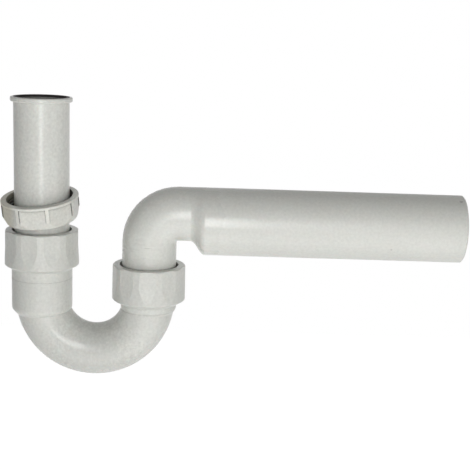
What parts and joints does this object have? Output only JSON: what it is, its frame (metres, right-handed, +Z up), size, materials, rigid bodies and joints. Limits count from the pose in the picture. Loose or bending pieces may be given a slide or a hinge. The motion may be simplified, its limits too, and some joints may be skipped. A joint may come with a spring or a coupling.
{
  "type": "tubular p-trap",
  "caption": "Push-fit plastic P-trap: flanged inlet tube with a loose union nut, U-bend with two sealed sockets, and an elbow that widens into a long outlet pipe.",
  "frame": {"origin": "centre of the inlet's sealing face, on the top of the washer in the inlet flange", "axes": "+Z up along the inlet tube, +X from the inlet leg to the outlet leg and along the outlet pipe, +Y across"},
  "size_m": [0.3397, 0.0576, 0.2068],
  "materials": {
    "grey_white_plastic": "satin moulded polypropylene",
    "nut_plastic": "slightly glossier moulded polypropylene",
    "dark_rubber": "matt black rubber"
  },
  "bodies": {
    "inlet": {"inlet_tube": "grey_white_plastic", "inlet_washer": "dark_rubber"},
    "nut": {"union_nut": "nut_plastic"},
    "inlet_seal_ring": {"inlet_seal": "dark_rubber"},
    "trap": {"trap_bend": "grey_white_plastic"},
    "outlet_seal_ring": {"outlet_seal": "dark_rubber"},
    "outlet": {"outlet_bend": "grey_white_plastic"}
  },
  "joints": [
    {"name": "inlet_slide", "type": "slide", "parent": "inlet", "child": "inlet_seal_ring", "axis": [0, 0, -1], "range_m": [0, 0.025]},
    {"name": "trap_swivel", "type": "hinge", "parent": "inlet_seal_ring", "child": "trap", "pos_m": [0, 0, -0.12], "axis": [0, 0, 1], "continuous": true},
    {"name": "outlet_swivel", "type": "hinge", "parent": "trap", "child": "outlet_seal_ring", "pos_m": [0.0792, 0, -0.13], "axis": [0, 0, 1], "range_deg": [-135, 135]},
    {"name": "outlet_slide", "type": "slide", "parent": "outlet_seal_ring", "child": "outlet", "axis": [0, 0, 1], "range_m": [0, 0.014]},
    {"name": "nut_slide", "type": "slide", "parent": "inlet", "child": "nut", "axis": [0, 0, 1], "range_m": [-0.0023, 0.063]}
  ]
}
